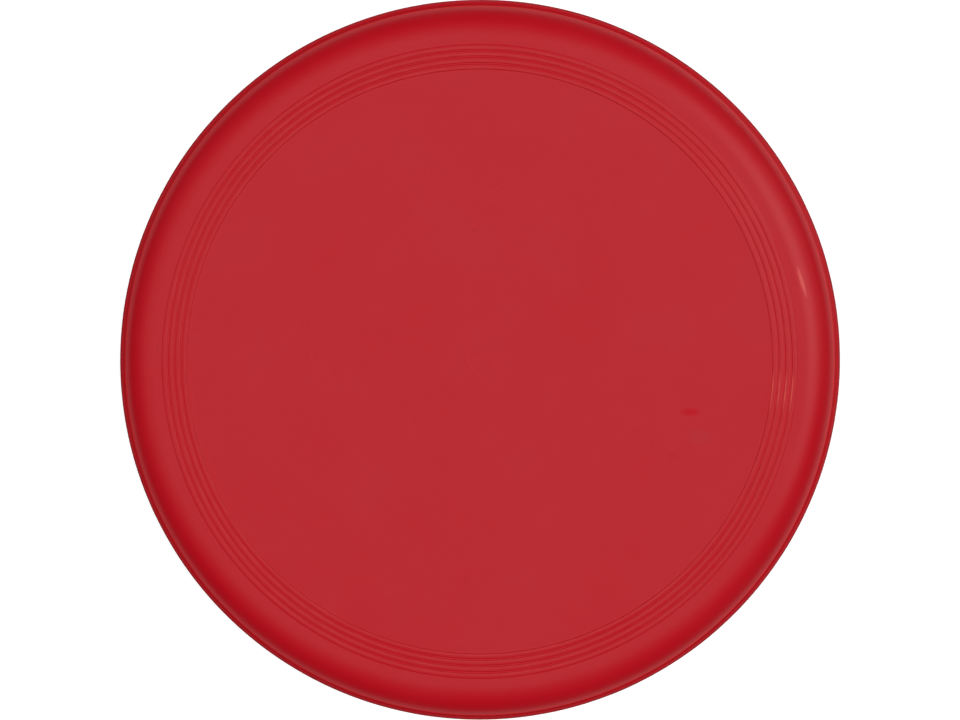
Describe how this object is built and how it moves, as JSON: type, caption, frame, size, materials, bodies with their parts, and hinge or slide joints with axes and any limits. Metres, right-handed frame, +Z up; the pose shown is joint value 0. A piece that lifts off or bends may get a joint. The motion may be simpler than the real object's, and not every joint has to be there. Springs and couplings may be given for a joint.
{
  "type": "flying disc",
  "caption": "Round throwing disc moulded in one piece: flat plate, a band of low concentric ribs, rounded shoulder and a thin skirt that ends in an outer lip, hollow underneath.",
  "frame": {"origin": "centre of the resting face, on the spin axis", "axes": "+Z is up along the spin axis, from the resting face to the plate; the disc is round, so +X and +Y are any two directions across it"},
  "size_m": [0.22, 0.22, 0.02],
  "materials": {
    "plastic": "satin, moulded-in red polypropylene"
  },
  "bodies": {
    "root": {"disc": "plastic"}
  },
  "joints": []
}
